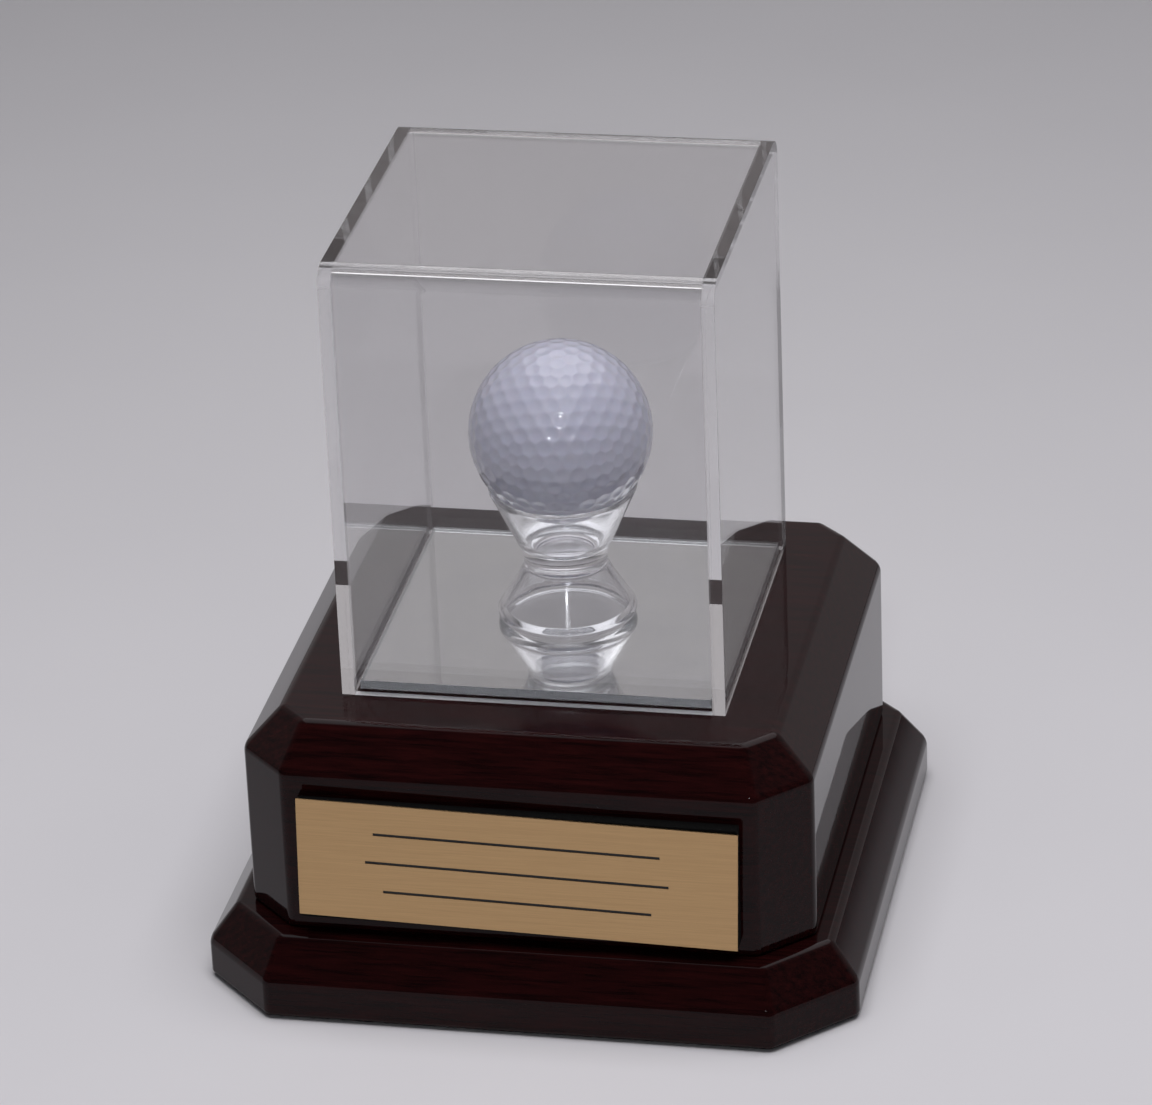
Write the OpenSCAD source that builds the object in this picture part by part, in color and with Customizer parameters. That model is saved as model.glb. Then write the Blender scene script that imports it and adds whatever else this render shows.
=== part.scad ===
// Display case for one golf ball: a clear five-sided cover and a ball stand on a two-step lacquered base.
// Millimetres. The origin is on the table under the middle of the base, +Z is up, the name plate faces -Y.

/* [Cover] */
// Width across the outsides of the two side panels
cover_w = 89; // [76:0.5:140]
// Depth from the front of the wrap to its back
cover_d = 88; // [76:0.5:140]
// Height of the cover
cover_h = 106; // [84:0.5:180]
// Thickness of the acrylic sheet
sheet_t = 3; // [2:0.1:5]
// Inside radius of the two bends in the wrap
bend_inner_r = 2; // [0.5:0.1:6]

/* [Block] */
// Flat border left at the cover's sides
border_w = 12.8; // [6:0.1:30]
// Flat border left in front of the cover and behind it
border_d = 13.3; // [6:0.1:30]
// Height of the block, slope included
block_h = 49.7; // [36:0.1:90]
// Width of the slope around the block's top, seen from above
block_slope_w = 8.7; // [2:0.1:16]
// Height of that slope
block_slope_h = 9.2; // [2:0.1:16]
// Length cut off each side of the block at a corner
block_corner = 11.7; // [8:0.1:24]

/* [Plinth] */
// Flat ledge left around the block
ledge_w = 3.7; // [1:0.1:12]
// Thickness of the plinth, slope included
plinth_h = 18; // [12:0.1:40]
// Width of the slope around the plinth's top, seen from above
plinth_slope_w = 6.5; // [2:0.1:14]
// Height of that slope
plinth_slope_h = 8.8; // [2:0.1:11]
// Length cut off each side of the plinth at a corner
plinth_corner = 17.5; // [12:0.1:30]
// Thickness of the felt under the plinth
felt_t = 0.8; // [0.5:0.1:3]
// Distance from the plinth's edge in to the felt
felt_inset = 2.5; // [1:0.1:10]

/* [Screws] */
// Distance from the block's sides in to each screw
screw_inset = 24; // [16:0.5:36]
// Diameter of the shank
screw_d = 4; // [3:0.1:6]
// Length of a screw, head included
screw_l = 35; // [28:0.5:45]
// Diameter of the countersunk head
screw_head_d = 8; // [7.5:0.1:12]
// Depth of the head below the underside of the plinth
screw_sink = 0.5; // [0.2:0.1:2]
// Radial clearance of a shank in the plinth
screw_clearance = 0.25; // [0.1:0.05:0.6]

/* [Mirror] */
// Thickness of the glass
mirror_t = 2; // [1:0.1:4]
// Thickness of the silvering with its paint
silver_t = 0.2; // [0.1:0.05:0.5]
// Gap from the mirror to the cover on each side
mirror_gap = 0.7; // [0.3:0.1:2]
// Thickness of the adhesive pads under the mirror
pad_t = 0.3; // [0.2:0.1:1]
// Side of a square pad
pad_w = 14; // [8:1:20]
// Distance from the mirror's edges in to a pad
pad_inset = 6; // [2:1:15]

/* [Name plate] */
// Width of the name plate
plate_w = 101.5; // [60:0.5:105]
// Height of the name plate
plate_h = 30; // [16:0.5:34]
// Thickness of the name plate
plate_t = 0.5; // [0.3:0.1:1.5]
// Thickness of the dark carrier behind it
carrier_t = 3; // [1:0.1:5]
// Turn of the name plate on the block, in degrees
plate_turn = -1.4; // [-3:0.1:3]
// Turn of the carrier on the block, in degrees
carrier_turn = -0.4; // [-3:0.1:3]
// Height of the middle of the plate above the plinth
plate_rise = 19.7; // [17:0.1:30]

/* [Ball stand] */
// Diameter of the foot over its rounded lip
foot_d = 32.6; // [24:0.1:50]
// Diameter of the neck
neck_d = 19.6; // [14:0.1:22]
// Diameter over the cup's rim
rim_d = 35.3; // [29:0.1:42]
// Height of the stand
stand_h = 33; // [28:0.1:50]
// Height of the neck above the foot
neck_h = 13.9; // [10:0.1:18]
// Thickness of the floor between the bell and the cup
web_t = 4; // [2:0.1:6]
// Wall of the bell and of the bottom of the cup
stand_wall = 1.8; // [1.2:0.1:3]
// Wall of the cup at its rim
rim_wall = 1; // [0.6:0.1:2]
// Radius of the foot's rounded lip
lip_r = 1.3; // [0.8:0.1:2.5]
// Softness of the neck, 0.5 for a sharp neck
neck_blend = 1.2; // [0.5:0.1:4]

/* [Ball] */
// Diameter of a golf ball
ball_d = 42.67; // [36:0.01:52]
// Thickness of the ball's cover
ball_cover_t = 1.8; // [1:0.1:3]
// Clearance between the ball and the cup's rim
seat_gap = 0.05; // [0.02:0.01:0.3]

/* [Hidden] */
$fn = 96;

lacquer = [0.16, 0.05, 0.05];
clear = [0.85, 0.9, 0.92, 0.35];

// Points along each curved stretch of the stand's profile
curve_steps = 10;

block_w = cover_w + 2 * (border_w + block_slope_w);
block_d = cover_d + 2 * (border_d + block_slope_w);
plinth_w = block_w + 2 * (ledge_w + plinth_slope_w);
plinth_d = block_d + 2 * (ledge_w + plinth_slope_w);

plinth_bottom = felt_t;
block_bottom = plinth_bottom + plinth_h;
block_top = block_bottom + block_h;
silver_bottom = block_top + pad_t;
glass_bottom = silver_bottom + silver_t;
stand_bottom = glass_bottom + mirror_t;
plate_middle = block_bottom + plate_rise;

mirror_w = cover_w - 2 * (sheet_t + mirror_gap);
mirror_d = cover_d - 2 * (sheet_t + mirror_gap);
bend_outer_r = bend_inner_r + sheet_t;

foot_r = foot_d / 2;
neck_r = neck_d / 2;
rim_r = rim_d / 2;
seat_r = rim_r - rim_wall;
lip_end_angle = 40;
lip_end = [foot_r - lip_r + lip_r * cos(lip_end_angle), lip_r + lip_r * sin(lip_end_angle)];
cup_floor_h = neck_h + web_t;

ball_r = ball_d / 2;
ball_core_r = ball_r - ball_cover_t;

// How fast the stand flares away from its neck, to be `gain` wider after a height of `run`
function flare(gain, run) = sqrt(pow(gain + neck_blend, 2) - pow(neck_blend, 2)) / run;
bell_flare = flare(lip_end[0] - neck_r, neck_h - lip_end[1]);
cup_flare = flare(rim_r - neck_r, stand_h - neck_h);

// Outside radius of the stand at height h, above the lip
function stand_r(h) =
    neck_r - neck_blend
    + sqrt(pow(neck_blend, 2) + pow((h < neck_h ? bell_flare : cup_flare) * (h - neck_h), 2));

// Height of the ball's middle: it sits on the cup's rim, or on the cone inside if it is small
cup_floor_r = stand_r(cup_floor_h) - stand_wall;
cone = (seat_r - cup_floor_r) / (stand_h - cup_floor_h);
cone_length = sqrt(1 + pow(cone, 2));
reach = ball_r + seat_gap;
on_cone_h = stand_h + (reach * cone_length - seat_r) / cone;
on_rim_h = stand_h + sqrt(pow(reach, 2) - pow(seat_r, 2));
touches_cone = on_cone_h - reach * cone / cone_length < stand_h;
ball_middle = stand_bottom + (touches_cone ? on_cone_h : on_rim_h);

// Points of a rectangle with its corners cut off
function cut_corners(w, d, cut) = [
    [w / 2, cut - d / 2], [w / 2, d / 2 - cut], [w / 2 - cut, d / 2], [cut - w / 2, d / 2],
    [-w / 2, d / 2 - cut], [-w / 2, cut - d / 2], [cut - w / 2, -d / 2], [w / 2 - cut, -d / 2]
];

// Board with cut corners and one even slope around its top
module sloped_board(w, d, h, cut, slope_w, slope_h) {
    corner_reach = ((w + d) / 2 - cut) / sqrt(2);
    reaches = [w / 2, corner_reach, d / 2, corner_reach];
    waste = [[-2 * slope_w, slope_h], [slope_w, -2 * slope_h], [slope_w, slope_h]];
    difference() {
        linear_extrude(h) polygon(cut_corners(w, d, cut));
        for (side = [0:7])
            rotate(45 * side)
                translate([reaches[side % 4], 0, h])
                    rotate([90, 0, 0])
                        linear_extrude(w + d, center = true) polygon(waste);
    }
}

// Repeats its children at the four screws
module at_screws() {
    screw_x = block_w / 2 - screw_inset;
    screw_y = block_d / 2 - screw_inset;
    for (x = [-1, 1], y = [-1, 1])
        translate([x * screw_x, y * screw_y, plinth_bottom + screw_sink])
            children();
}

// Countersunk head, widest at the bottom
module screw_head() {
    head_h = (screw_head_d - screw_d) / 2;
    cylinder(h = head_h, d1 = screw_head_d, d2 = screw_d);
}

// Lower board, with clearance holes for the screws
module plinth() {
    color(lacquer)
        difference() {
            translate([0, 0, plinth_bottom])
                sloped_board(plinth_w, plinth_d, plinth_h, plinth_corner, plinth_slope_w, plinth_slope_h);
            at_screws() {
                screw_head();
                cylinder(h = plinth_h, r = screw_d / 2 + screw_clearance);
                translate([0, 0, -screw_sink - 1])
                    cylinder(h = screw_sink + 1, d = screw_head_d);
            }
        }
}

// Upper board, with pilot holes that the screws bite into
module block() {
    color(lacquer)
        difference() {
            translate([0, 0, block_bottom])
                sloped_board(block_w, block_d, block_h, block_corner, block_slope_w, block_slope_h);
            at_screws()
                cylinder(h = screw_l, d = screw_d);
        }
}

// Four wood screws that hold the block on the plinth
module base_screws() {
    slot_w = 1;
    slot_h = 1.2;
    color("dimgray")
        at_screws()
            difference() {
                union() {
                    screw_head();
                    cylinder(h = screw_l, d = screw_d);
                }
                for (turn = [0, 90])
                    rotate(turn)
                        cube([screw_d, slot_w, 2 * slot_h], center = true);
            }
}

// Felt glued under the plinth, over the screw heads
module felt_base() {
    color([0.05, 0.05, 0.05])
        linear_extrude(felt_t)
            polygon(cut_corners(plinth_w - 2 * felt_inset, plinth_d - 2 * felt_inset, plinth_corner));
}

// Adhesive pads between the block and the mirror
module mirror_pads() {
    color("white")
        for (x = [-1, 1], y = [-1, 1])
            translate([
                x * (mirror_w / 2 - pad_inset - pad_w / 2),
                y * (mirror_d / 2 - pad_inset - pad_w / 2),
                block_top + pad_t / 2
            ])
                cube([pad_w, pad_w, pad_t], center = true);
}

// Silvering and paint on the back of the glass
module mirror_backing() {
    color("dimgray")
        translate([-mirror_w / 2, -mirror_d / 2, silver_bottom])
            cube([mirror_w, mirror_d, silver_t]);
}

// Mirror glass, which the cover fits around
module mirror_glass() {
    color("silver")
        translate([-mirror_w / 2, -mirror_d / 2, glass_bottom])
            cube([mirror_w, mirror_d, mirror_t]);
}

// Upright slab on the front of the block, turned a little, as hand-fitted plates are
module front_slab(turn, front, thickness) {
    translate([0, -block_d / 2 - front, plate_middle])
        rotate([0, -turn, 0])
            translate([-plate_w / 2, 0, -plate_h / 2])
                cube([plate_w, thickness, plate_h]);
}

// Dark foam carrier behind the name plate
module plate_carrier() {
    color([0.03, 0.03, 0.03])
        front_slab(carrier_turn, carrier_t, carrier_t);
}

// Gold-coloured metal name plate
module name_plate() {
    color([0.75, 0.6, 0.4])
        front_slab(plate_turn, carrier_t + plate_t, plate_t);
}

// Outline of the cover from the side, square below and rounded at the two top corners
module hood_outline(d, h, r) {
    translate([-d / 2, 0]) square([d, h - r]);
    translate([r - d / 2, 0]) square([d - 2 * r, h]);
    for (side = [-1, 1])
        translate([side * (d / 2 - r), h - r]) circle(r);
}

// Stands a side-view outline up and gives it a width along X
module across(width) {
    rotate([90, 0, 90]) linear_extrude(width) children();
}

// Flat side panel, its outside at x = left
module side_panel(left) {
    color(clear)
        translate([left, 0, block_top])
            across(sheet_t) hood_outline(cover_d, cover_h, bend_outer_r);
}

module cover_left_panel() {
    side_panel(-cover_w / 2);
}

module cover_right_panel() {
    side_panel(cover_w / 2 - sheet_t);
}

// Front, top and back in one sheet with two bends
module cover_wrap() {
    wrap_w = cover_w - 2 * sheet_t;
    color(clear)
        translate([-wrap_w / 2, 0, block_top])
            across(wrap_w)
                difference() {
                    hood_outline(cover_d, cover_h, bend_outer_r);
                    translate([0, -1])
                        hood_outline(cover_d - 2 * sheet_t, cover_h - sheet_t + 1, bend_inner_r);
                }
}

// Hourglass ball stand: a bell below the floor at the neck, a cup above it
module ball_stand() {
    outside = [
        for (i = [0:curve_steps]) let (a = -90 + (90 + lip_end_angle) * i / curve_steps)
            [foot_r - lip_r + lip_r * cos(a), lip_r + lip_r * sin(a)],
        for (i = [1:curve_steps]) let (h = lip_end[1] + (neck_h - lip_end[1]) * i / curve_steps)
            [stand_r(h), h],
        for (i = [1:curve_steps]) let (h = neck_h + (stand_h - neck_h) * i / curve_steps)
            [stand_r(h), h]
    ];
    cup = [[seat_r, stand_h], [cup_floor_r, cup_floor_h], [0, cup_floor_h]];
    bell_foot_h = lip_end[1];
    bell = [
        [0, neck_h],
        for (i = [0:curve_steps]) let (h = neck_h + (bell_foot_h - neck_h) * i / curve_steps)
            [stand_r(h) - stand_wall, h],
        [lip_end[0] - stand_wall, 0]
    ];
    color(clear)
        translate([0, 0, stand_bottom])
            rotate_extrude()
                polygon(concat(outside, cup, bell));
}

module ball_core() {
    color("gray")
        translate([0, 0, ball_middle])
            sphere(ball_core_r);
}

// Smooth outer shell of the ball
module ball_cover() {
    color("white")
        translate([0, 0, ball_middle])
            difference() {
                sphere(ball_r);
                sphere(ball_core_r);
            }
}

plinth();
block();
base_screws();
felt_base();
mirror_pads();
mirror_backing();
mirror_glass();
plate_carrier();
name_plate();
cover_left_panel();
cover_right_panel();
cover_wrap();
ball_stand();
ball_core();
ball_cover();
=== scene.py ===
"""Looks of the display case: a golf ball on a clear stand, under a clear cover, on a lacquered base."""

import math

import bmesh
import bpy
from mathutils import Matrix, Vector, kdtree


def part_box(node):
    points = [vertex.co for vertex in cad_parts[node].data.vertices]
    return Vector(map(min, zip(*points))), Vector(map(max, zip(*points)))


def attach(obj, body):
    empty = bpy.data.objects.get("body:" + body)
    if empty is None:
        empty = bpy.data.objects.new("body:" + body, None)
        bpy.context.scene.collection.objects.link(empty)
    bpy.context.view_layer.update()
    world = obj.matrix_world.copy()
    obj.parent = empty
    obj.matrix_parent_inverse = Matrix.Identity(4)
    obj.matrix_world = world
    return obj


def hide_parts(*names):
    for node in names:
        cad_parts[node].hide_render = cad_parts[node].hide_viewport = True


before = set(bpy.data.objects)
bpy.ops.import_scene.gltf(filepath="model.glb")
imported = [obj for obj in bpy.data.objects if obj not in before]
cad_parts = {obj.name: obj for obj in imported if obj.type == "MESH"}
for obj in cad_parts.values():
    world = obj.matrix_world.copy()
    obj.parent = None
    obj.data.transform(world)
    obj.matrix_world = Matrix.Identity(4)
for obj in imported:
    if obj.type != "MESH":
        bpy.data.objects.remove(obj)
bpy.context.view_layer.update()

MM = 0.001
WELD = 0.002 * MM

# Camera, around a point near the ball's neck
CAMERA_TARGET = Vector((0.6, 4.3, 89.7)) * MM
CAMERA_DISTANCE = 1297 * MM
CAMERA_AZIMUTH = math.radians(11.94)
CAMERA_ELEVATION = math.radians(26.12)
CAMERA_ROLL = math.radians(2.36)
CAMERA_LENS = 173.6
CAMERA_SHIFT = (0.0035, -0.0208)

# Lamps: a wide soft one overhead, and a small one above the camera
CEILING_H = 1.1
CEILING_X, CEILING_Y = 0.08, -0.17
CEILING_SIZE = 0.9
CEILING_POWER = 11.6
CEILING_COLOUR = (1, 0.985, 1)
FLASH_PLACE = (0.2, -1.12, 0.8)
FLASH_TARGET = (0, 0, 0.08)
FLASH_SIZE = 0.07
FLASH_POWER = 1.3
FLASH_COLOUR = (0.95, 0.97, 1)
FLOOR_R = 4

# Range that most of a noise lies in
NOISE_LOW, NOISE_HIGH = 0.3, 0.7

# Base
EDGE_ROUND = 1.2 * MM
ROUND_STEPS = 4
FOAM_ROUND = 0.25 * MM
MIRROR_ROUND = 0.3 * MM
PLATE_ROUND = 0.08 * MM
PLATE_W = 101.5 * MM
PLATE_H = 30 * MM
PLATE_TURN = math.radians(1.4)
RULE_H = 0.7 * MM
RULE_PITCH = 7.4 * MM
RULE_LENGTHS = (62 * MM, 70 * MM, 66 * MM)
ENGRAVING_DEPTH = 0.12 * MM
ENGRAVING_TAPER = 0.04 * MM

# Cover
SHEET_T = 3 * MM
BEND_R = 5 * MM
BEND_STEPS = 12
SHEET_ROUND = 0.12 * MM
CEMENT = 0.03 * MM
REST_GAP = 0.03 * MM

# Stand
NECK_H = 13.9 * MM
NECK_R = 9.8 * MM
NECK_BLEND = 1.2 * MM
LIP_R = 1.3 * MM
LIP_END = math.radians(40)
WEB_T = 4 * MM
STAND_WALL = 1.8 * MM
RIM_WALL = 1 * MM
RIM_ROUND = 0.3 * MM
FOOT_R = 16.3 * MM
CUP_CORNER_W = 1.2 * MM
CUP_CORNER_H = 0.3 * MM
BELL_DOME_H = 2.2 * MM
# Shares of the cup's height where its straight inside starts and ends
CONE_START, CONE_END = 0.08, 0.985
# Steps along each stretch of the stand's section, and around it
CONE_STEPS = 8
WALL_STEPS = 60
LIP_STEPS = 12
BELL_STEPS = 24
DOME_STEPS = 10
STAND_SIDES = 128

# Ball
DIMPLE_ROWS = 7
DIMPLE_R = 1.66 * MM
DIMPLE_DEPTH = 0.21 * MM
DIMPLE_SOFT = 0.1
FACETS_PER_ROW = 10
EVENING_ROUNDS = 12
BALL_COVER_T = 1.8 * MM


# ---------------------------------------------------------------- camera, floor and light


def add_camera():
    """Long lens, looking down at the front right corner, with the roll of a camera held by hand."""
    azimuth, elevation = CAMERA_AZIMUTH, CAMERA_ELEVATION
    back = Vector((
        math.sin(azimuth) * math.cos(elevation),
        -math.cos(azimuth) * math.cos(elevation),
        math.sin(elevation),
    ))
    level = Vector((math.cos(azimuth), math.sin(azimuth), 0))
    turn = Matrix.Rotation(-CAMERA_ROLL, 3, back)
    right = turn @ level
    up = back.cross(right)
    data = bpy.data.cameras.new("camera")
    data.lens = CAMERA_LENS
    data.shift_x, data.shift_y = CAMERA_SHIFT
    data.clip_end = 20
    camera = bpy.data.objects.new("camera", data)
    axes = Matrix((right, up, back)).transposed().to_4x4()
    camera.matrix_world = Matrix.Translation(CAMERA_TARGET + back * CAMERA_DISTANCE) @ axes
    bpy.context.collection.objects.link(camera)
    bpy.context.scene.camera = camera


def add_area_light(name, place, target, size, power, colour):
    """Square lamp at place that faces target."""
    data = bpy.data.lights.new(name, "AREA")
    data.shape = "SQUARE"
    data.size = size
    data.energy = power
    data.color = colour
    lamp = bpy.data.objects.new(name, data)
    lamp.location = place
    lamp.rotation_mode = "QUATERNION"
    lamp.rotation_quaternion = (Vector(target) - Vector(place)).to_track_quat("-Z", "Y")
    bpy.context.collection.objects.link(lamp)
    return lamp


def sky_glow(world, middle, low, high, start, end):
    """Background that goes from low to high as the direction nears middle: start and end are cosines."""
    nodes, links = world.node_tree.nodes, world.node_tree.links
    direction = nodes.new("ShaderNodeTexCoord")
    nearness = nodes.new("ShaderNodeVectorMath")
    turn = nodes.new("ShaderNodeMapRange")
    shade = nodes.new("ShaderNodeValToRGB")
    glow = nodes.new("ShaderNodeBackground")
    nearness.operation = "DOT_PRODUCT"
    nearness.inputs[1].default_value = Vector(middle).normalized()
    turn.inputs["From Min"].default_value = start
    turn.inputs["From Max"].default_value = end
    shade.color_ramp.interpolation = "EASE"
    for element, colour in zip(shade.color_ramp.elements, (low, high)):
        element.color = (*colour, 1)
    links.new(direction.outputs["Generated"], nearness.inputs[0])
    links.new(nearness.outputs["Value"], turn.inputs["Value"])
    links.new(turn.outputs["Result"], shade.inputs["Fac"])
    links.new(shade.outputs["Color"], glow.inputs["Color"])
    return glow.outputs["Background"]


def add_room():
    """What polished faces reflect: a pale wall behind, a dim room in front and a bright ceiling."""
    behind, above = (0, 1, 0), (0, 0.47, 1)
    dim, pale = (0.05, 0.05, 0.055), (0.45, 0.43, 0.44)
    dark, bright = (0, 0, 0), (1.4, 1.4, 1.46)
    world = bpy.data.worlds.new("room")
    bpy.context.scene.world = world
    world.use_nodes = True
    nodes, links = world.node_tree.nodes, world.node_tree.links
    both = nodes.new("ShaderNodeAddShader")
    links.new(sky_glow(world, behind, dim, pale, start=-0.4, end=0.7), both.inputs[0])
    links.new(sky_glow(world, above, dark, bright, start=0.81, end=0.93), both.inputs[1])
    links.new(both.outputs["Shader"], nodes["World Output"].inputs["Surface"])
    world.cycles_visibility.diffuse = False


def add_lamps():
    """The ceiling lamp only lights what is dull: polished faces see the room's glow in its place."""
    over = (CEILING_X, CEILING_Y, CEILING_H)
    under = (CEILING_X, CEILING_Y, 0)
    ceiling = add_area_light("ceiling", over, under, CEILING_SIZE, CEILING_POWER, CEILING_COLOUR)
    ceiling.visible_glossy = False
    ceiling.visible_transmission = False
    add_area_light("flash", FLASH_PLACE, FLASH_TARGET, FLASH_SIZE, FLASH_POWER, FLASH_COLOUR)


def add_floor():
    """Pale paper that the case stands on."""
    shape = bmesh.new()
    bmesh.ops.create_circle(shape, cap_ends=True, segments=96, radius=FLOOR_R)
    mesh = bpy.data.meshes.new("floor")
    shape.to_mesh(mesh)
    shape.free()
    mesh.materials.append(paper())
    floor = bpy.data.objects.new("floor", mesh)
    bpy.context.collection.objects.link(floor)


# ---------------------------------------------------------------- finishes


def finish(name, **sockets):
    """Material with one Principled shader, whose sockets are set by name, with _ for a space."""
    material = bpy.data.materials.new(name)
    material.use_nodes = True
    shader = material.node_tree.nodes["Principled BSDF"]
    for socket, value in sockets.items():
        shader.inputs[socket.replace("_", " ")].default_value = value
    return material


def node(material, kind):
    return material.node_tree.nodes.new(kind)


def shader_of(material):
    return material.node_tree.nodes["Principled BSDF"]


def link(material, source, target):
    material.node_tree.links.new(source, target)


def noise(material, scale, detail=4.0, stretch=(1, 1, 1), roughness=0.5):
    """Noise on the piece's own coordinates, in cells per metre. stretch lengthens the cells by axis."""
    place = node(material, "ShaderNodeTexCoord")
    mapping = node(material, "ShaderNodeMapping")
    mapping.inputs["Scale"].default_value = [1 / s for s in stretch]
    grain = node(material, "ShaderNodeTexNoise")
    grain.inputs["Scale"].default_value = scale
    grain.inputs["Detail"].default_value = detail
    grain.inputs["Roughness"].default_value = roughness
    link(material, place.outputs["Object"], mapping.inputs["Vector"])
    link(material, mapping.outputs["Vector"], grain.inputs["Vector"])
    return grain.outputs["Fac"]


def mottle(material, source, low, high, start=NOISE_LOW, end=NOISE_HIGH):
    """Base colour that goes from low to high as source goes from start to end."""
    ramp = node(material, "ShaderNodeValToRGB")
    ramp.color_ramp.elements[0].position = start
    ramp.color_ramp.elements[0].color = (*low, 1)
    ramp.color_ramp.elements[1].position = end
    ramp.color_ramp.elements[1].color = (*high, 1)
    link(material, source, ramp.inputs["Fac"])
    link(material, ramp.outputs["Color"], shader_of(material).inputs["Base Color"])


def dull(material, source, low, high):
    """Roughness that goes from low to high with the noise in source."""
    scaled = node(material, "ShaderNodeMapRange")
    scaled.inputs["From Min"].default_value = NOISE_LOW
    scaled.inputs["From Max"].default_value = NOISE_HIGH
    scaled.inputs["To Min"].default_value = low
    scaled.inputs["To Max"].default_value = high
    link(material, source, scaled.inputs["Value"])
    link(material, scaled.outputs["Result"], shader_of(material).inputs["Roughness"])


def bump(material, height, depth, socket="Normal"):
    """Raises the surface by up to depth, in metres, where height is 1."""
    lift = node(material, "ShaderNodeBump")
    lift.inputs["Strength"].default_value = 1
    lift.inputs["Distance"].default_value = depth
    link(material, height, lift.inputs["Height"])
    link(material, lift.outputs["Normal"], shader_of(material).inputs[socket])


def let_lamps_through(material, tint):
    """Light for dull surfaces passes straight through the clear piece, so that what it covers is lit."""
    light = node(material, "ShaderNodeLightPath")
    clear = node(material, "ShaderNodeBsdfTransparent")
    clear.inputs["Color"].default_value = (*tint, 1)
    surface = shader_of(material).outputs["BSDF"]
    for ray in ("Is Diffuse Ray", "Is Shadow Ray"):
        either = node(material, "ShaderNodeMixShader")
        link(material, light.outputs[ray], either.inputs["Fac"])
        link(material, surface, either.inputs[1])
        link(material, clear.outputs["BSDF"], either.inputs[2])
        surface = either.outputs["Shader"]
    link(material, surface, material.node_tree.nodes["Material Output"].inputs["Surface"])


def cherry_lacquer():
    """Dark cherry stain, with its grain along the front, deep under polished lacquer."""
    wood = finish(
        "cherry_lacquer", Coat_Weight=1.0, Coat_Roughness=0.02, Coat_IOR=1.25, Specular_IOR_Level=0.0
    )
    grain = noise(wood, 900, detail=6, stretch=(14, 1, 1), roughness=0.65)
    mottle(wood, grain, (0.006, 0.0012, 0.0014), (0.022, 0.0035, 0.0035), 0.35, 0.7)
    dull(wood, grain, 0.35, 0.5)
    bump(wood, noise(wood, 60, detail=1), 0.012 * MM, "Coat Normal")
    return wood


def clear_acrylic():
    """Polished sheet with the faintest wipe marks."""
    acrylic = finish(
        "clear_acrylic", Base_Color=(0.875, 0.87, 0.875, 1), Transmission_Weight=1.0, IOR=1.49
    )
    wiped = noise(acrylic, 220, detail=3, stretch=(1, 1, 5))
    dull(acrylic, wiped, 0.0, 0.012)
    let_lamps_through(acrylic, (0.93, 0.935, 0.94))
    return acrylic


def sawn_acrylic():
    """Edge of the wrap that stands on the base, left as the saw cut it."""
    edge = finish(
        "sawn_acrylic", Base_Color=(0.95, 0.95, 0.97, 1), Roughness=0.3,
        Transmission_Weight=1.0, IOR=1.49,
    )
    bump(edge, noise(edge, 2500, detail=2), 0.15 * MM)
    let_lamps_through(edge, (0.8, 0.8, 0.8))
    return edge


def moulded_acrylic():
    """Clear moulding of the ball stand, with slight flow lines."""
    moulding = finish(
        "moulded_acrylic", Base_Color=(0.94, 0.94, 0.955, 1), Roughness=0.06,
        Transmission_Weight=1.0, IOR=1.49,
    )
    bump(moulding, noise(moulding, 90, detail=2, stretch=(1, 1, 3)), 0.05 * MM)
    let_lamps_through(moulding, (0.93, 0.93, 0.94))
    return moulding


def mirror_glass():
    """Float glass over the silvering, with a trace of dust."""
    glass = finish(
        "mirror_float_glass", Base_Color=(0.95, 0.975, 0.965, 1), Transmission_Weight=1.0, IOR=1.52
    )
    dull(glass, noise(glass, 300, detail=4), 0.0, 0.015)
    let_lamps_through(glass, (0.93, 0.95, 0.94))
    return glass


def ground_glass():
    """Edge of the mirror, ground dull."""
    edge = finish(
        "ground_glass", Base_Color=(0.6, 0.64, 0.66, 1), Roughness=0.35,
        Transmission_Weight=1.0, IOR=1.52,
    )
    bump(edge, noise(edge, 2500, detail=2), 0.3 * MM)
    let_lamps_through(edge, (0.7, 0.72, 0.72))
    return edge


def silvering():
    """Silver film on the back of the glass."""
    silver = finish("silvering", Metallic=1.0, Roughness=0.03)
    mottle(silver, noise(silver, 120), (0.92, 0.92, 0.93), (0.96, 0.96, 0.96))
    return silver


def satin_gold():
    """Gold sheet, brushed along its length."""
    gold = finish("satin_gold", Metallic=1.0)
    brushing = noise(gold, 5000, detail=3, stretch=(60, 1, 1))
    mottle(gold, brushing, (0.515, 0.335, 0.165), (0.61, 0.405, 0.207))
    dull(gold, brushing, 0.34, 0.46)
    bump(gold, brushing, 0.004 * MM)
    return gold


def engraved_black():
    """Paint that fills the engraving."""
    black = finish("engraved_black", Roughness=0.6)
    mottle(black, noise(black, 3000), (0.010, 0.009, 0.009), (0.02, 0.018, 0.017))
    return black


def black_foam():
    """Closed-cell foam tape behind the plate."""
    foam = finish("black_foam", Roughness=0.8, Specular_IOR_Level=0.1)
    cells = noise(foam, 2500, detail=5)
    mottle(foam, cells, (0.002, 0.002, 0.002), (0.006, 0.006, 0.006))
    bump(foam, cells, 0.1 * MM)
    return foam


def white_foam():
    """Adhesive foam pads."""
    foam = finish("white_foam", Roughness=0.8)
    cells = noise(foam, 2500, detail=5)
    mottle(foam, cells, (0.6, 0.6, 0.58), (0.75, 0.75, 0.72))
    bump(foam, cells, 0.1 * MM)
    return foam


def black_felt():
    """Short felt pile."""
    felt = finish("black_felt", Roughness=0.95, Sheen_Weight=0.4, Sheen_Roughness=0.5)
    pile = noise(felt, 3500, detail=8, roughness=0.7)
    mottle(felt, pile, (0.004, 0.004, 0.005), (0.02, 0.02, 0.022))
    bump(felt, pile, 0.25 * MM)
    return felt


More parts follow.
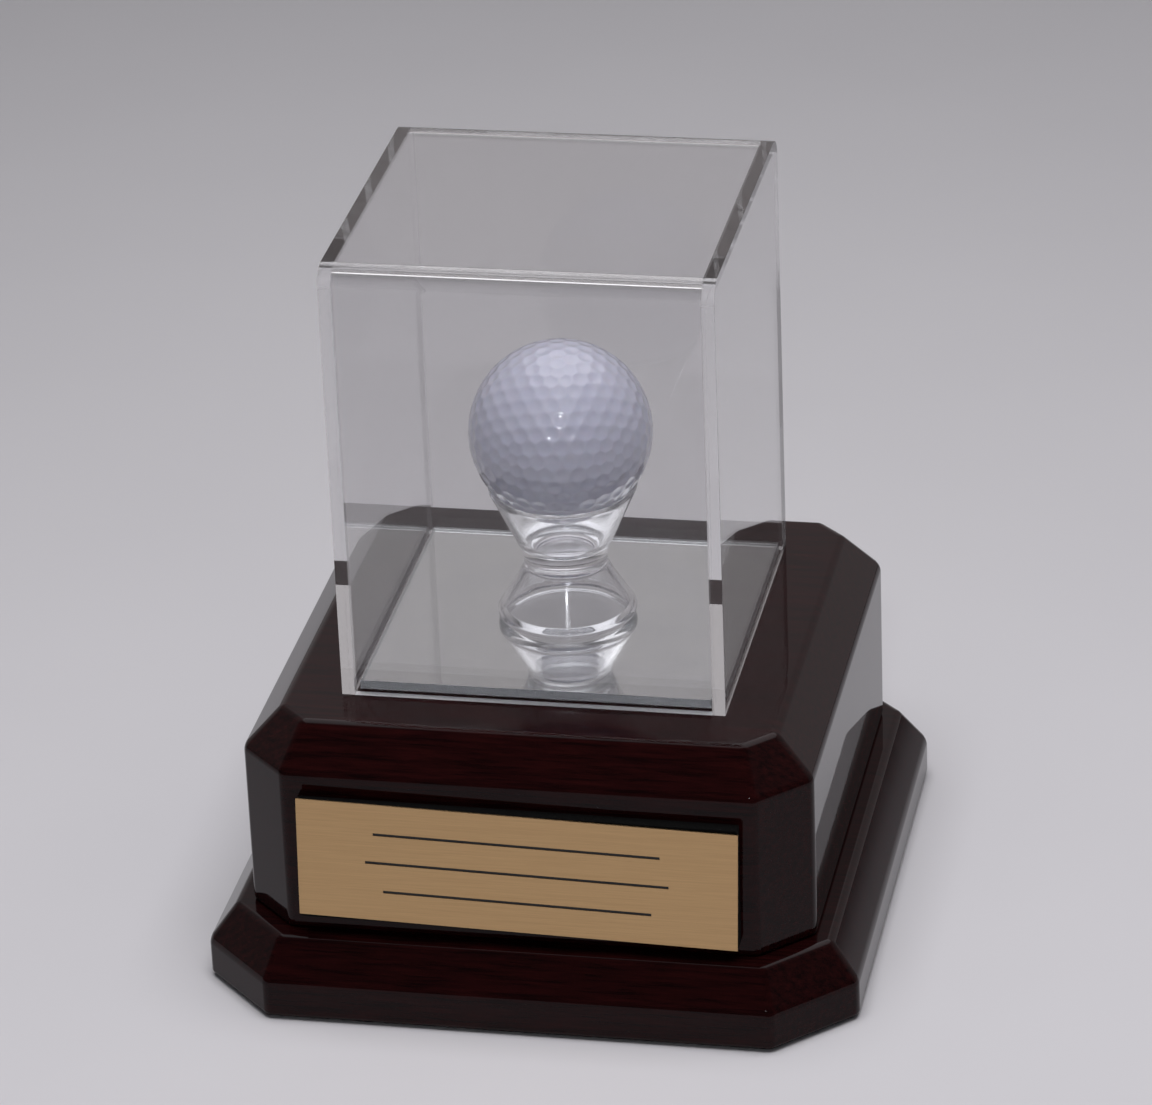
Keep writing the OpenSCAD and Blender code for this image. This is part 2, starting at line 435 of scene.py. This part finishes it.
def zinc_plate():
    """Zinc-plated screws."""
    zinc = finish("zinc_plate", Metallic=1.0)
    haze = noise(zinc, 1500, detail=4)
    mottle(zinc, haze, (0.5, 0.5, 0.47), (0.62, 0.61, 0.58))
    dull(zinc, haze, 0.25, 0.45)
    return zinc


def ball_white():
    """Glossy painted cover of the ball, slightly blue."""
    paint = finish(
        "ball_white", Roughness=0.3, IOR=1.5, Coat_Weight=1.0, Coat_Roughness=0.12,
        Subsurface_Weight=0.06, Subsurface_Scale=1.0 * MM,
    )
    mottle(paint, noise(paint, 150), (0.58, 0.585, 0.73), (0.62, 0.625, 0.76))
    return paint


def ball_rubber():
    """Core of the ball."""
    rubber = finish("ball_rubber", Roughness=0.7)
    mottle(rubber, noise(rubber, 400), (0.22, 0.22, 0.24), (0.3, 0.3, 0.32))
    return rubber


def paper():
    """Pale matt paper."""
    sheet = finish("paper", Roughness=0.9)
    mottle(sheet, noise(sheet, 8, detail=3), (0.70, 0.69, 0.72), (0.72, 0.71, 0.74))
    return sheet


# ---------------------------------------------------------------- making pieces


def add_piece(name, shape, body, slot, nodes, *materials, smooth=30):
    """Makes the shape an object that rides on a body and stands for its CAD nodes."""
    mesh = bpy.data.meshes.new(name)
    bmesh.ops.triangulate(shape, faces=[f for f in shape.faces if len(f.verts) > 4])
    shape.to_mesh(mesh)
    shape.free()
    for material in materials:
        mesh.materials.append(material)
    mesh.shade_smooth()
    mesh.set_sharp_from_angle(angle=math.radians(smooth))
    piece = bpy.data.objects.new(name, mesh)
    bpy.context.collection.objects.link(piece)
    even = piece.modifiers.new("even_shading", "WEIGHTED_NORMAL")
    even.keep_sharp = True
    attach(piece, body)
    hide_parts(*nodes)
    return piece


def repaint(name, material):
    """Gives a CAD node its finish."""
    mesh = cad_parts[name].data
    mesh.materials.clear()
    mesh.materials.append(material)


def block_between(low, high):
    """Plain block from its lowest to its highest corner."""
    shape = bmesh.new()
    middle = (low + high) / 2
    size = high - low
    place = Matrix.Translation(middle) @ Matrix.Diagonal((*size, 1))
    bmesh.ops.create_cube(shape, size=1, matrix=place)
    return shape


def round_edges(shape, edges, radius, steps):
    bmesh.ops.bevel(
        shape, geom=edges, offset=radius, offset_type="OFFSET", segments=steps,
        profile=0.5, affect="EDGES", material=-1, clamp_overlap=True,
    )


def along(edge, axis):
    """True if the edge runs along that axis, 0 for X, 1 for Y or 2 for Z."""
    run = (edge.verts[1].co - edge.verts[0].co).normalized()
    return abs(run[axis]) > 0.999


def sharp_edges(shape, least_length):
    """Edges where two faces meet at an angle, apart from those of small holes."""
    least_angle = math.radians(20)
    return [
        e for e in shape.edges
        if len(e.link_faces) == 2
        and e.calc_face_angle(0) > least_angle
        and e.calc_length() > least_length
    ]


def softened(node_name, radius, steps):
    """The CAD node's own shape, with its long edges rounded."""
    shape = bmesh.new()
    shape.from_mesh(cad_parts[node_name].data)
    bmesh.ops.remove_doubles(shape, verts=shape.verts, dist=WELD)
    bmesh.ops.dissolve_limit(
        shape, angle_limit=math.radians(0.5), use_dissolve_boundaries=False,
        verts=shape.verts, edges=shape.edges,
    )
    round_edges(shape, sharp_edges(shape, 3 * radius), radius, steps)
    return shape


# ---------------------------------------------------------------- base


def add_base():
    """Two lacquered boards, with the screws and the felt beneath them."""
    lacquer = cherry_lacquer()
    for board in ("plinth", "block"):
        shape = softened(board, EDGE_ROUND, ROUND_STEPS)
        add_piece(board + "_board", shape, "base", "lacquered_wood", [board], lacquer)
    repaint("base_screws", zinc_plate())
    repaint("felt_base", black_felt())


def add_plate():
    """Gold plate with blank engraved rules, and the foam that holds it off the block."""
    foam = softened("plate_carrier", FOAM_ROUND, 2)
    add_piece("plate_foam", foam, "base", "carrier_foam", ["plate_carrier"], black_foam())
    low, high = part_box("name_plate")
    middle = (low + high) / 2
    half = Vector((PLATE_W / 2, (high.y - low.y) / 2, PLATE_H / 2))
    shape = block_between(-half, half)
    round_edges(shape, list(shape.edges), PLATE_ROUND, 2)
    middle_row = (len(RULE_LENGTHS) - 1) / 2
    heights = [RULE_PITCH * (row - middle_row) for row in range(len(RULE_LENGTHS))]
    ends = [side * length / 2 for length in RULE_LENGTHS for side in (-1, 1)]
    borders = [height + side * RULE_H / 2 for height in heights for side in (-1, 1)]
    cuts = [(Vector((x, 0, 0)), Vector((1, 0, 0))) for x in ends]
    cuts += [(Vector((0, 0, z)), Vector((0, 0, 1))) for z in borders]
    for place, normal in cuts:
        front = [f for f in shape.faces if f.normal.y < -0.999]
        around = list({part for f in front for part in (*f.verts, *f.edges)})
        bmesh.ops.bisect_plane(shape, geom=front + around, dist=WELD, plane_co=place, plane_no=normal)
    for height, length in zip(heights, RULE_LENGTHS):
        rule = [
            f for f in shape.faces
            if f.normal.y < -0.999
            and abs(f.calc_center_median().z - height) < RULE_H / 2
            and abs(f.calc_center_median().x) < length / 2
        ]
        bmesh.ops.inset_region(
            shape, faces=rule, thickness=ENGRAVING_TAPER, depth=-ENGRAVING_DEPTH, use_even_offset=True
        )
        for f in rule:
            f.material_index = 1
    turn = Matrix.Rotation(PLATE_TURN, 4, "Y")
    bmesh.ops.transform(shape, matrix=Matrix.Translation(middle) @ turn, verts=shape.verts)
    add_piece(
        "engraved_plate", shape, "base", "gold_metal", ["name_plate"], satin_gold(), engraved_black()
    )


def add_mirror():
    """Glass with ground edges, on its silvering and its pads."""
    low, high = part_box("mirror_glass")
    shape = block_between(low - Vector((0, 0, CEMENT)), high)
    round_edges(shape, list(shape.edges), MIRROR_ROUND, 2)
    for f in shape.faces:
        if abs(f.normal.z) < 0.9:
            f.material_index = 1
    add_piece(
        "mirror_pane", shape, "base", "clear_glass", ["mirror_glass"], mirror_glass(), ground_glass()
    )
    repaint("mirror_backing", silvering())
    repaint("mirror_pads", white_foam())


# ---------------------------------------------------------------- cover


def add_side_panel(name, reach, acrylic):
    """Side panel, rounded to follow the bends. reach is how far along X the cement carries it inwards."""
    low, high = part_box(name)
    low = low + Vector((min(reach, 0), 0, REST_GAP))
    high = high + Vector((max(reach, 0), 0, 0))
    shape = block_between(low, high)
    corners = [e for e in shape.edges if along(e, 0) and e.verts[0].co.z > (low.z + high.z) / 2]
    round_edges(shape, corners, BEND_R, BEND_STEPS)
    round_edges(shape, sharp_edges(shape, SHEET_T / 2), SHEET_ROUND, 2)
    add_piece(name.replace("cover_", "clear_"), shape, "cover", "acrylic", [name], acrylic)


def add_wrap(acrylic, sawn):
    """Front, top and back from one sheet, bent twice over a hot wire."""
    low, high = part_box("cover_wrap")
    low = low + Vector((0, 0, REST_GAP))
    shape = block_between(low, high)
    open_sides = [f for f in shape.faces if abs(f.normal.x) > 0.9 or f.normal.z < -0.9]
    bmesh.ops.delete(shape, geom=open_sides, context="FACES")
    bends = [e for e in shape.edges if along(e, 0) and len(e.link_faces) == 2]
    round_edges(shape, bends, BEND_R, BEND_STEPS)
    bmesh.ops.recalc_face_normals(shape, faces=shape.faces)
    bmesh.ops.solidify(shape, geom=list(shape.faces), thickness=SHEET_T)
    bmesh.ops.recalc_face_normals(shape, faces=shape.faces)
    for f in shape.faces:
        if f.normal.z < -0.9 and f.calc_center_median().z < low.z + SHEET_T / 2:
            f.material_index = 1
    add_piece("clear_wrap", shape, "cover", "acrylic", ["cover_wrap"], acrylic, sawn)


def add_cover():
    """Two side panels cemented to the wrap."""
    acrylic, sawn = clear_acrylic(), sawn_acrylic()
    add_side_panel("cover_left_panel", CEMENT, acrylic)
    add_side_panel("cover_right_panel", -CEMENT, acrylic)
    add_wrap(acrylic, sawn)


# ---------------------------------------------------------------- stand and ball


def flare(gain, run):
    """How fast the stand widens away from its neck, to be gain wider after a height of run."""
    return math.sqrt((gain + NECK_BLEND) ** 2 - NECK_BLEND ** 2) / run


def turned(outline, steps):
    """Turns an outline of (radius, height) points about the upright axis."""
    shape = bmesh.new()
    verts = [shape.verts.new((r, 0, h)) for r, h in outline]
    edges = [shape.edges.new(pair) for pair in zip(verts, verts[1:])]
    bmesh.ops.spin(
        shape, geom=verts + edges, cent=(0, 0, 0), axis=(0, 0, 1), angle=math.tau,
        steps=steps, use_merge=True, use_normal_flip=False, use_duplicate=False,
    )
    bmesh.ops.remove_doubles(shape, verts=shape.verts, dist=WELD)
    bmesh.ops.recalc_face_normals(shape, faces=shape.faces)
    return shape


def climb(start, end, steps):
    """Even steps from start to end, both included."""
    return [start + (end - start) * i / steps for i in range(steps + 1)]


def stand_outline(rim_r, height):
    """Half section of the stand: from the cup's floor over the rim and foot, then up inside the bell."""
    lip_r = FOOT_R - LIP_R + LIP_R * math.cos(LIP_END)
    lip_h = LIP_R + LIP_R * math.sin(LIP_END)
    bell_flare = flare(lip_r - NECK_R, NECK_H - lip_h)
    cup_flare = flare(rim_r - NECK_R, height - NECK_H)

    def outside(h):
        slope = bell_flare if h < NECK_H else cup_flare
        return NECK_R - NECK_BLEND + math.hypot(NECK_BLEND, slope * (h - NECK_H))

    floor_h = NECK_H + WEB_T
    floor_r = outside(floor_h) - STAND_WALL
    seat_r = rim_r - RIM_WALL
    cup = [
        (floor_r + (seat_r - floor_r) * t, floor_h + (height - floor_h) * t)
        for t in climb(CONE_START, CONE_END, CONE_STEPS)
    ]
    rim = [(seat_r + RIM_ROUND, height), (rim_r - RIM_ROUND, height)]
    wall = [(outside(h), h) for h in climb(height - 2 * RIM_ROUND, lip_h, WALL_STEPS)]
    lip = [
        (FOOT_R - LIP_R + LIP_R * math.cos(a), LIP_R + LIP_R * math.sin(a))
        for a in climb(LIP_END, -math.pi / 2, LIP_STEPS)
    ]
    dome_h = NECK_H - BELL_DOME_H
    dome_r = outside(dome_h) - STAND_WALL
    bell = [(outside(h) - STAND_WALL, h) for h in climb(lip_h, dome_h, BELL_STEPS)]
    dome = [
        (dome_r * math.cos(a), dome_h + (NECK_H - dome_h) * math.sin(a))
        for a in climb(0, math.pi / 2, DOME_STEPS)
    ]
    return [
        (0, floor_h), (floor_r - CUP_CORNER_W, floor_h), (floor_r - CUP_CORNER_H, floor_h + CUP_CORNER_H),
        *cup, *rim, *wall, *lip[1:], (lip_r - STAND_WALL, 0), *bell, *dome[1:],
    ]


def add_stand():
    """Hourglass stand: a bell below the neck and a cup above it."""
    low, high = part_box("ball_stand")
    shape = turned(stand_outline((high.x - low.x) / 2, high.z - low.z), STAND_SIDES)
    bmesh.ops.translate(shape, vec=(0, 0, low.z + REST_GAP), verts=shape.verts)
    add_piece("clear_stand", shape, "stand", "acrylic", ["ball_stand"], moulded_acrylic(), smooth=40)


def geodesic(cuts):
    """Unit sphere of even triangles."""
    shape = bmesh.new()
    bmesh.ops.create_icosphere(shape, subdivisions=1, radius=1)
    bmesh.ops.subdivide_edges(shape, edges=shape.edges, cuts=cuts, use_grid_fill=True)
    for v in shape.verts:
        v.co.normalize()
    return shape


def dimple_centres():
    """Directions of the dimples, spread evenly, as a tree that finds the nearest one."""
    shape = geodesic(DIMPLE_ROWS - 1)
    for _ in range(EVENING_ROUNDS):
        bmesh.ops.smooth_vert(
            shape, verts=shape.verts, factor=0.5, use_axis_x=True, use_axis_y=True, use_axis_z=True
        )
        for v in shape.verts:
            v.co.normalize()
    tree = kdtree.KDTree(len(shape.verts))
    for i, v in enumerate(shape.verts):
        tree.insert(v.co, i)
    tree.balance()
    shape.free()
    return tree


def level_rows():
    """Turn that brings a triangle of dimples to the front right, with its rows level."""
    shape = bmesh.new()
    bmesh.ops.create_icosphere(shape, subdivisions=1, radius=1)
    shape.faces.ensure_lookup_table()
    outwards = shape.faces[0].calc_center_median().normalized()
    tip = shape.faces[0].verts[0].co
    upwards = (tip - tip.dot(outwards) * outwards).normalized()
    found = Matrix((upwards.cross(outwards), upwards, outwards)).to_4x4()
    shape.free()
    swing = Matrix.Rotation(CAMERA_AZIMUTH, 4, "Z")
    tilt = Matrix.Rotation(math.pi / 2 - CAMERA_ELEVATION, 4, "X")
    return swing @ tilt @ found


def dimple_hollow(away):
    """Share of a dimple's depth at a distance from its middle, given in dimple radii. The edge is soft."""
    if away < 1 - DIMPLE_SOFT:
        return 1 - away ** 2
    at_edge = 1 - (1 - DIMPLE_SOFT) ** 2
    return at_edge * max(0, (1 + DIMPLE_SOFT - away) / (2 * DIMPLE_SOFT)) ** 2


def add_ball():
    """Dimpled cover of the ball, hollow for its core."""
    low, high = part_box("ball_cover")
    middle = (low + high) / 2
    radius = (high.z - low.z) / 2
    centres = dimple_centres()
    shape = geodesic(DIMPLE_ROWS * FACETS_PER_ROW - 1)
    for v in shape.verts:
        away = centres.find(v.co)[2] * radius / DIMPLE_R
        v.co *= radius - DIMPLE_DEPTH * dimple_hollow(away)
    inner = bmesh.ops.create_icosphere(shape, subdivisions=5, radius=radius - BALL_COVER_T)["verts"]
    bmesh.ops.reverse_faces(shape, faces=list({f for v in inner for f in v.link_faces}))
    bmesh.ops.transform(shape, matrix=Matrix.Translation(middle) @ level_rows(), verts=shape.verts)
    add_piece("dimpled_ball", shape, "ball", "ball_white", ["ball_cover"], ball_white(), smooth=180)
    repaint("ball_core", ball_rubber())


# ---------------------------------------------------------------- the scene

add_camera()
add_floor()
add_room()
add_lamps()

add_base()
add_plate()
add_mirror()
add_cover()
add_stand()
add_ball()

scene = bpy.context.scene
scene.view_settings.view_transform = "Standard"
scene.cycles.max_bounces = 128
scene.cycles.transmission_bounces = 128
scene.cycles.glossy_bounces = 128
scene.cycles.transparent_max_bounces = 24
